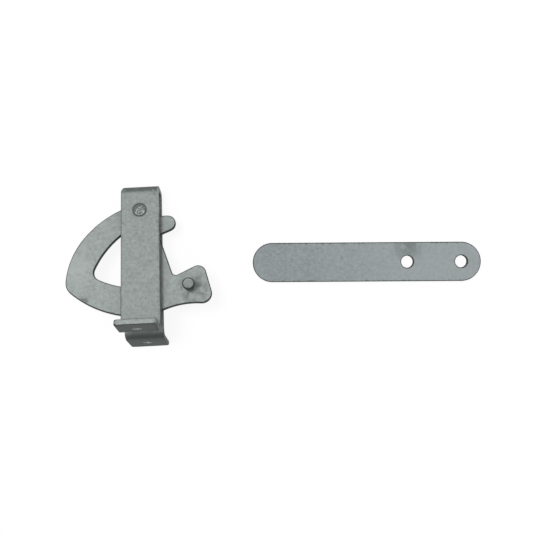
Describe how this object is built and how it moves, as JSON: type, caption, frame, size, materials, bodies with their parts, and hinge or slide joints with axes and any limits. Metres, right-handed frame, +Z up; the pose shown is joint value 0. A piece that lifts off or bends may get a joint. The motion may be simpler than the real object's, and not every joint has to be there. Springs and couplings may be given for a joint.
{
  "type": "d-pattern gate latch",
  "caption": "Galvanised gate latch: a strap folded onto feet holds a swinging D-shaped catch plate with a padlock hole and a stop stud, with its flat round-ended strike bar.",
  "frame": {"origin": "on the table, under the middle of the whole set's bounding box", "axes": "+X along the strike bar, +Y across the table towards the fold of the latch, +Z up from the table. The latch lies on its back, its legs about 16 degrees off level"},
  "size_m": [0.2682, 0.1054, 0.0671],
  "materials": {
    "galvanised_strip": "matte hot-dip galvanised",
    "galvanised_plate": "matte hot-dip galvanised",
    "zinc_rivet": "hammered zinc",
    "zinc_spacer": "plain zinc",
    "zinc_stud": "plain zinc",
    "galvanised_bar": "matte hot-dip galvanised"
  },
  "bodies": {
    "strap": {"housing": "galvanised_strip", "pivot_rivet": "zinc_rivet", "back_spacer": "zinc_spacer", "front_spacer": "zinc_spacer", "strike_bar": "galvanised_bar"},
    "catch": {"catch_plate": "galvanised_plate", "stop_stud": "zinc_stud"}
  },
  "joints": [
    {"name": "catch_pivot", "type": "hinge", "parent": "strap", "child": "catch", "pos_m": [-0.08767, 0.03454, 0.01162], "axis": [-0.0125, 0.2777, 0.9606], "range_deg": [-15.8, 55]}
  ]
}
